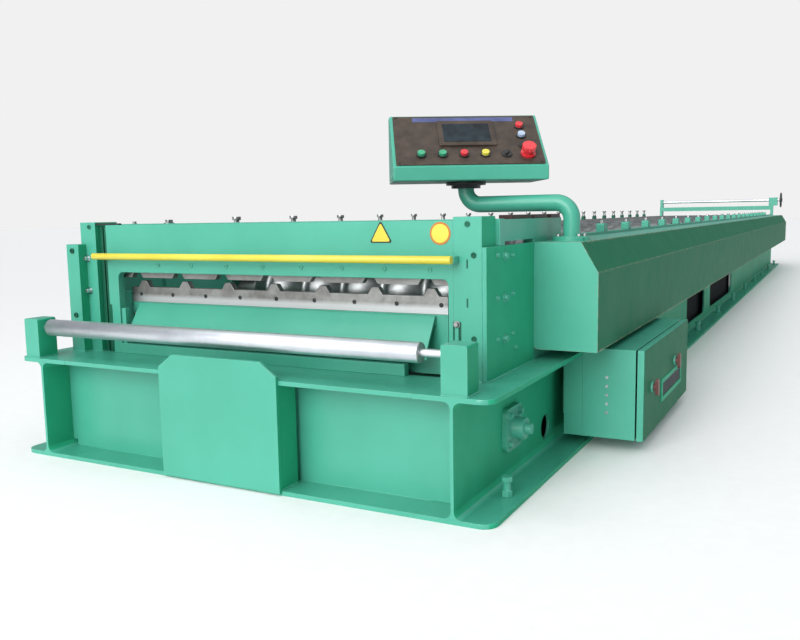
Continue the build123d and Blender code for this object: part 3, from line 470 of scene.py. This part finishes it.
def plate(mesh, corners, direction, thickness):
    """A flat plate on the given corners, as thick as stated along the direction."""
    push = Vector(direction).normalized() * thickness
    under = [mesh.verts.new(Vector(c)) for c in corners]
    over = [mesh.verts.new(Vector(c) + push) for c in corners]
    mesh.faces.new(under[::-1])
    mesh.faces.new(over)
    count = len(corners)
    for i in range(count):
        j = (i + 1) % count
        mesh.faces.new((under[i], under[j], over[j], over[i]))


def weld_bead(mesh, start, end, radius, step=5 * mm, sides=8):
    """A fillet weld: a rippled bead from start to end."""
    start, end = Vector(start), Vector(end)
    run = end - start
    turn = along(run)
    count = max(int(run.length / step), 2)
    loops = []
    for k in range(count + 1):
        swell = radius * (1 + 0.16 * math.sin(k * 2.1) + random.uniform(-0.08, 0.08))
        centre = start + run * k / count
        loops.append([mesh.verts.new(centre + turn @ Vector((
            swell * math.cos(2 * math.pi * i / sides), swell * math.sin(2 * math.pi * i / sides), 0)))
            for i in range(sides)])
    for under, over in zip(loops, loops[1:]):
        for i in range(sides):
            j = (i + 1) % sides
            mesh.faces.new((under[i], under[j], over[j], over[i]))
    mesh.faces.new(loops[0][::-1])
    mesh.faces.new(loops[-1])


def piece_of(name, mesh, finish, body, smooth=math.radians(35), rounding=0.0):
    """Turns the mesh into a named piece that rides on the body."""
    bmesh.ops.recalc_face_normals(mesh, faces=mesh.faces)
    data = bpy.data.meshes.new(name)
    mesh.to_mesh(data)
    mesh.free()
    made = bpy.data.objects.new(name, data)
    bpy.context.scene.collection.objects.link(made)
    data.materials.append(finish)
    for face in data.polygons:
        face.use_smooth = True
    data.set_sharp_from_angle(angle=smooth)
    if rounding:
        rounded = made.modifiers.new("rounded", "BEVEL")
        rounded.width = rounding
        rounded.segments = 2
        rounded.limit_method = "ANGLE"
        rounded.angle_limit = edge_angle
    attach(made, body)
    return made


def bolts_at(name, kind, places, direction, size, finish=zinc, body="base"):
    """One piece with a like fastening at each place."""
    radius, height = size
    mesh = bmesh.new()
    for place in places:
        kind(mesh, place, direction, radius, height)
    return piece_of(name, mesh, finish, body)


def low(name):
    """The low corner of a CAD piece."""
    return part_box(name)[0]


def high(name):
    """The high corner of a CAD piece."""
    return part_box(name)[1]


front_face = low("shear_front_plate").y
outward = (0, -1, 0)
upward = (0, 0, 1)
sideways = (1, 0, 0)


def on_front(places):
    """Points on the front of the shear, from their X and Z in millimetres."""
    return [(x * mm, front_face, z * mm) for x, z in places]


def bar(name, x_span, y_span, z_span, finish, body="base", rounding=1.0 * mm):
    """A rectangular bar between three pairs of limits, in millimetres."""
    mesh = bmesh.new()
    corners = [(x_span[0], y_span[0]), (x_span[1], y_span[0]), (x_span[1], y_span[1]), (x_span[0], y_span[1])]
    foot = [(x * mm, y * mm, z_span[0] * mm) for x, y in corners]
    plate(mesh, foot, upward, (z_span[1] - z_span[0]) * mm)
    return piece_of(name, mesh, finish, body, rounding=rounding)


# Cap screws and bright studs of the shear posts. The cap screws are painted the dark green of painted shade.
bolts_at("shear_post_screws", socket_bolt, on_front(((643, 686), (659, 611), (659, 407), (-633, 690))),
         outward, post_screw, green_painted_shade)
bolts_at("post_studs", stud, on_front(((-645, 592), (-645, 491))), outward, post_stud, bright_zinc)

# Two short slots of the right post. Slots stand out by a millimetre, as dark lines of painted shade.
slot_y = (75, 76)
slot_x, slot_half_width, slot_half_length = 642, 2, 11
for place, z in (("high", 590), ("low", 495)):
    bar("post_slot_" + place, (slot_x - slot_half_width, slot_x + slot_half_width), slot_y,
        (z - slot_half_length, z + slot_half_length), green_painted_shade, rounding=0.2 * mm)

# Screws that hold the blade's backing, in a row below the guard bar.
bar_screw_start, bar_screw_pitch, bar_screw_z = -355, 128, 575
bar_screws = on_front([(bar_screw_start + i * bar_screw_pitch, bar_screw_z) for i in range(8)])
bolts_at("front_plate_screws", socket_bolt, bar_screws, outward, front_screw, green)

# Screws of the lower blade.
blade_screw_start, blade_screw_pitch, blade_screw_rise = 38 * mm, 129 * mm, 25 * mm
blade_low = low("lower_blade")
blade_screws = [(blade_low.x + blade_screw_start + i * blade_screw_pitch, blade_low.y,
                 blade_low.z + blade_screw_rise) for i in range(9)]
bolts_at("lower_blade_screws", socket_bolt, blade_screws, outward, blade_screw, black)

# Gib keepers at the feet of the two guides, and the strips in the recess beside the left post. The gib slots and
# the recess strips are dark green, painted shade in the recesses; the black strip on top is painted shade at the
# recess's top.
bar("gib_slot_right", (603, 625), slot_y, (330, 447), green_painted_shade, rounding=0.3 * mm)
bar("gib_keeper_right", (609, 619), (72, 75), (330, 434), green)
bar("gib_slot_left", (-562, -554), slot_y, (302, 451), green_painted_shade, rounding=0.3 * mm)
bar("gib_keeper_left", (-519, -503), (80, 96), (331, 440), green)
bolts_at("gib_studs", stud, [(614 * mm, 75 * mm, 441 * mm), (-512 * mm, 136 * mm, 415 * mm)], outward,
         gib_stud, zinc)
recess_z = (300, 690)
bar("recess_strip_outer", (-605, -592), (90, 120), recess_z, green_painted_shade)
bar("recess_strip_inner", (-580, -571), (84, 112), recess_z, green_painted_shade)
bar("recess_top_strip", (-608, -511), (78, 92), (695, 700), black)

# Fastenings of the side plates: three bolts, with a stud on each side of them. Places are Y and Z in millimetres.
right_x = high("shear_side_plate_right").x
left_x = low("shear_side_plate_left").x
cap_places = [(197, 604), (197, 498), (197, 394)]
stud_places = [(144, 608), (144, 502), (144, 398), (253, 603), (253, 504), (253, 400), (272, 360)]
for side, x, direction in (("right", right_x, sideways), ("left", left_x, (-1, 0, 0))):
    bolts_at("side_plate_screws_" + side, hex_bolt, [(x, y * mm, z * mm) for y, z in cap_places], direction,
             side_bolt, green)
    bolts_at("side_plate_studs_" + side, stud, [(x, y * mm, z * mm) for y, z in stud_places], direction,
             side_stud, green)

# Left bracket screws, painted the dark green of painted shade.
bracket_low, bracket_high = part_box("shear_left_bracket")
bracket_middle = 26 * mm
bracket_screws = [(bracket_low.x + bracket_middle, bracket_low.y, bracket_high.z - drop * mm)
                  for drop in (20, 221)]
bolts_at("left_bracket_screws", socket_bolt, bracket_screws, outward, bracket_screw, green_painted_shade)

# Two low bolts on the crosshead.
crosshead_low, crosshead_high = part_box("shear_crosshead")
crosshead_middle = (crosshead_low.y + crosshead_high.y) / 2
for place, x, size in (("outer", -548, crosshead_outer_bolt), ("inner", -403, crosshead_inner_bolt)):
    bolts_at("crosshead_bolt_" + place, hex_bolt, [(x * mm, crosshead_middle, crosshead_high.z)], upward, size)

# Strip that closes the deck between the front beam and the shear's rear plate. Its dark green is painted shade for
# the shaded gap.
bar("deck_gap_strip", (-570, 570), (101, 189), (286, 294), green_painted_shade)

# Dark sheet inside the right beam, behind its openings: painted shade for the dark inside seen through them.
bar("drive_painted_shade_sheet", (640, 643), (420, 5600), (14, 286), backing)

# Three low blocks on the rail of the right wall.
rail_top = high("wall_head_rail").z / mm
block_height = 11
for place, y_span in (("near", (275, 432)), ("middle", (449, 564)), ("far", (601, 690))):
    bar("rail_block_" + place, (647, 685), y_span, (rail_top, rail_top + block_height), block_red)

# One bolt on each cap of the right wall.
cap_low, cap_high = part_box("bearing_caps_right")
cap_half = 26 * mm
station_pitch = 390 * mm
station_count = round((cap_high.y - cap_low.y) / station_pitch) + 1
cap_bolts = [((cap_low.x + cap_high.x) / 2, cap_low.y + cap_half + i * station_pitch, cap_high.z)
             for i in range(station_count)]
bolts_at("cap_bolts_right", hex_bolt, cap_bolts, upward, cap_bolt)

# Bearing unit bolts.
unit_low, unit_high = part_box("front_bearing_unit")
flange_thickness, bolt_inset = 14 * mm, 20 * mm
flange_x = unit_low.x + flange_thickness
unit_bolts = [(flange_x, y, z)
              for y in (unit_low.y + bolt_inset, unit_high.y - bolt_inset)
              for z in (unit_low.z + bolt_inset, unit_high.z - bolt_inset)]
bolts_at("bearing_unit_bolts", hex_bolt, unit_bolts, sideways, unit_bolt, green)

# Arm foot bolts.
guard_top = high("chain_guard").z
foot_radius, foot_thickness, foot_bolt_reach = 55 * mm, 12 * mm, 42 * mm
arm_low, arm_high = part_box("control_arm")
foot_x, foot_y = arm_high.x - foot_radius, (arm_low.y + arm_high.y) / 2
foot_bolts = [(foot_x + foot_bolt_reach * math.cos(a), foot_y + foot_bolt_reach * math.sin(a),
               guard_top + foot_thickness)
              for a in (math.pi / 4 + k * math.pi / 2 for k in range(4))]
bolts_at("arm_foot_bolts", hex_bolt, foot_bolts, upward, foot_bolt)

# Cabinet: the column of five screws on the end face, and the pane of the meter window.
cabinet_low, cabinet_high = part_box("electrical_cabinet")
column_inset, column_drop, column_pitch = 73, 85, 26.5
column = [(cabinet_low.x + column_inset * mm, cabinet_low.y,
           cabinet_high.z - (column_drop + column_pitch * i) * mm) for i in range(5)]
bolts_at("cabinet_screws", socket_bolt, column, outward, cabinet_screw, bright_zinc)
window_low, window_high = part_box("door_window")
pane_inset = 15 * mm
pane_y = (window_low.y + pane_inset, window_high.y - pane_inset)
pane_z = (window_low.z + pane_inset, window_high.z - pane_inset)
pane = [(window_low.x, pane_y[0], pane_z[0]), (window_low.x, pane_y[1], pane_z[0]),
        (window_low.x, pane_y[1], pane_z[1]), (window_low.x, pane_y[0], pane_z[1])]
mesh = bmesh.new()
plate(mesh, pane, sideways, 1.0 * mm)
piece_of("meter_pane", mesh, meter_glass, "door")


# Plain safety plates on the shear's front: a triangle with round corners, and a disc.
def safety_plates():
    third = 2 * math.pi / 3
    corner_reach, corner_radius = 30 * mm, 4 * mm
    rim_thickness, plate_thickness = 1.2 * mm, 0.4 * mm
    inner_share = 0.84
    centre = Vector((405 * mm, front_face, 660 * mm))
    corners = []
    for k in range(3):
        angle = math.pi / 2 + k * third
        for step in (-0.5, -0.25, 0, 0.25, 0.5):
            tip = angle + step * third
            corners.append(centre + Vector((
                corner_reach * math.cos(angle) + corner_radius * math.cos(tip), 0,
                corner_reach * math.sin(angle) + corner_radius * math.sin(tip))))
    mesh = bmesh.new()
    plate(mesh, corners, outward, rim_thickness)
    piece_of("safety_triangle_rim", mesh, black, "base")
    mesh = bmesh.new()
    inner = [centre + (c - centre) * inner_share + Vector((0, -rim_thickness, 0)) for c in corners]
    plate(mesh, inner, outward, plate_thickness)
    piece_of("safety_triangle", mesh, yellow, "base")

    rim_radius, disc_radius = 28 * mm, 23 * mm
    rim_thickness, disc_thickness = 1.0 * mm, 0.5 * mm
    round_sides = 48
    centre = Vector((571 * mm, front_face, 664 * mm))
    mesh = bmesh.new()
    turned(mesh, centre, outward, ((rim_radius, 0), (rim_radius, rim_thickness)), round_sides)
    piece_of("safety_disc_rim", mesh, orange, "base")
    mesh = bmesh.new()
    face = centre + Vector((0, -rim_thickness, 0))
    turned(mesh, face, outward, ((disc_radius, 0), (disc_radius, disc_thickness)), round_sides)
    piece_of("safety_disc", mesh, yellow, "base")


safety_plates()


# Welds between plates and beams.
def welds():
    mesh = bmesh.new()
    deck = high("front_cross_beam").z
    bead = 3.5 * mm
    flange = 12 * mm
    for name in ("roller_bracket_left", "roller_bracket_right", "shear_left_bracket", "shear_post_left",
                 "shear_post_right"):
        a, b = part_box(name)
        weld_bead(mesh, (a.x, a.y, deck), (b.x, a.y, deck), bead)
        weld_bead(mesh, (b.x, a.y, deck), (b.x, b.y, deck), bead)
    a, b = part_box("shear_side_plate_right")
    weld_bead(mesh, (b.x, a.y, deck), (b.x, b.y, deck), bead)
    a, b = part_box("front_stiffeners")
    for x in (a.x, b.x):
        weld_bead(mesh, (x, a.y + 3 * mm, flange), (x, b.y, flange), bead)
    piece_of("weld_beads", mesh, green, "base", smooth=math.radians(60))


welds()

# The sloping face of the control panel: its middle, its direction across, and its normal. Sizes in millimetres.
panel_turn = math.radians(31)
panel_x, panel_y, panel_foot = 428, 572, 806
panel_depth, panel_lip = 250, 40
slope_run, slope_rise = 189, 163
across = Vector((math.cos(panel_turn), math.sin(panel_turn), 0))
inward = Vector((-math.sin(panel_turn), math.cos(panel_turn), 0))
slope = Vector((slope_run, slope_rise)).normalized()
face_up = (inward * slope.x + Vector((0, 0, slope.y))).normalized()
face_out = across.cross(face_up)
face_z = panel_foot + panel_lip + slope_rise / 2
face_middle = Vector((panel_x, panel_y, face_z)) * mm + inward * (slope_run - panel_depth) / 2 * mm


def on_panel(x, y, height):
    """A point over the panel's face, in millimetres from its middle."""
    return face_middle + (across * x + face_up * y + face_out * height) * mm


# A colour for each control, by its place on the face.
def colour_controls():
    controls = nodes["panel_controls"].data
    colours = {"green": green_plastic, "red": red, "yellow": yellow_plastic, "white": white_plastic}
    index = {}
    for key, finish in colours.items():
        controls.materials.append(finish)
        index[key] = len(controls.materials) - 1
    row = ((-142, "green"), (-79, "green"), (-17, "red"), (46, "yellow"))
    lamps = ((62, "red"), (14, "white"))
    lamps_x = 140
    base_height = 7.1
    reach = 20
    for face in controls.polygons:
        offset = (face.center - face_middle) / mm
        x, y, height = offset.dot(across), offset.dot(face_up), offset.dot(face_out)
        if height < base_height:
            continue
        if x > lamps_x:
            near = [key for place, key in lamps if abs(y - place) < reach]
        else:
            near = [key for place, key in row if abs(x - place) < reach and y < 0]
        if near:
            face.material_index = index[near[0]]


colour_controls()

# A plain coloured strip along the top of the face, and a screw at each corner.
face_plate = 3.0
mesh = bmesh.new()
strip = [on_panel(x, y, face_plate) for x, y in ((-157, 90), (150, 90), (150, 111), (-157, 111))]
plate(mesh, strip, face_out, 0.3 * mm)
piece_of("panel_strip", mesh, blue_strip, "panel")
corner_screws = [on_panel(x, y, face_plate) for x in (-207, 207) for y in (-112, 112)]
bolts_at("panel_face_screws", socket_bolt, corner_screws, face_out, panel_screw, black, body="panel")


# Studio: a pale floor, a pale surround, soft light and the camera.
floor_reach = 60.0
floor_thickness = 20 * mm
seen_colour = (0.88, 0.88, 0.88, 1)
soft_colour = (0.90, 0.95, 1.0, 1)
soft_strength = 0.34
key_place = (-0.2, -4.6, 2.2)
key_power = 2.0
key_spread = math.radians(40)
top_place = (0.3, -0.8, 6.0)
top_power = 1.1
top_spread = math.radians(100)
front_place = (-0.8, -5.0, 0.9)
front_power = 1.15
front_spread = math.radians(60)
line_place = (-0.6, -1.6, 3.4)
line_target = (0.2, 0.6, 0.6)
line_power = 26
line_length = 3.0
line_width = 0.25
origin = (0, 0, 0)


def floor():
    mesh = bmesh.new()
    reach = floor_reach
    corners = [(-reach, -reach, 0), (reach, -reach, 0), (reach, reach, 0), (-reach, reach, 0)]
    plate(mesh, corners, (0, 0, -1), floor_thickness)
    data = bpy.data.meshes.new("studio_floor")
    mesh.to_mesh(data)
    mesh.free()
    made = bpy.data.objects.new("studio_floor", data)
    bpy.context.scene.collection.objects.link(made)
    data.materials.append(floor_finish)


def lamp(name, kind, place, target, power, **settings):
    """A light of the studio, turned to its target."""
    data = bpy.data.lights.new(name, kind)
    data.energy = power
    for key, value in settings.items():
        setattr(data, key, value)
    made = bpy.data.objects.new(name, data)
    made.location = place
    made.rotation_euler = (Vector(target) - Vector(place)).to_track_quat("-Z", "Y").to_euler()
    bpy.context.scene.collection.objects.link(made)


def surround():
    """A pale surround to look at, and a softer one for the light it gives."""
    world = bpy.data.worlds.new("studio")
    world.use_nodes = True
    tree = world.node_tree
    seen = tree.nodes["Background"]
    seen.inputs["Color"].default_value = seen_colour
    soft = tree.nodes.new("ShaderNodeBackground")
    soft.inputs["Color"].default_value = soft_colour
    soft.inputs["Strength"].default_value = soft_strength
    path = tree.nodes.new("ShaderNodeLightPath")
    both = tree.nodes.new("ShaderNodeMixShader")
    tree.links.new(path.outputs["Is Camera Ray"], both.inputs[0])
    tree.links.new(soft.outputs[0], both.inputs[1])
    tree.links.new(seen.outputs[0], both.inputs[2])
    tree.links.new(both.outputs[0], tree.nodes["World Output"].inputs["Surface"])
    bpy.context.scene.world = world


def studio():
    """Sets up the floor, the surround and the lights."""
    floor()
    surround()
    lamp("key_sun", "SUN", key_place, origin, key_power, angle=key_spread)
    lamp("top_sun", "SUN", top_place, origin, top_power, angle=top_spread)
    lamp("front_sun", "SUN", front_place, origin, front_power, angle=front_spread)
    lamp("line_light", "AREA", line_place, line_target, line_power, shape="RECTANGLE", size=line_length,
         size_y=line_width)
    bpy.context.scene.view_settings.view_transform = "Standard"


def camera():
    aim = Vector((math.sin(camera_yaw) * math.cos(camera_pitch),
                  math.cos(camera_yaw) * math.cos(camera_pitch), -math.sin(camera_pitch)))
    right = Vector((math.cos(camera_yaw), -math.sin(camera_yaw), 0))
    down = aim.cross(right)
    turned_right = right * math.cos(camera_roll) - down * math.sin(camera_roll)
    turned_down = right * math.sin(camera_roll) + down * math.cos(camera_roll)
    axes = Matrix((turned_right, -turned_down, -aim)).transposed()
    data = bpy.data.cameras.new("camera")
    data.lens = camera_lens
    data.sensor_width = camera_sensor
    made = bpy.data.objects.new("camera", data)
    made.matrix_world = Matrix.Translation(camera_place) @ axes.to_4x4()
    bpy.context.scene.collection.objects.link(made)
    bpy.context.scene.camera = made


studio()
camera()
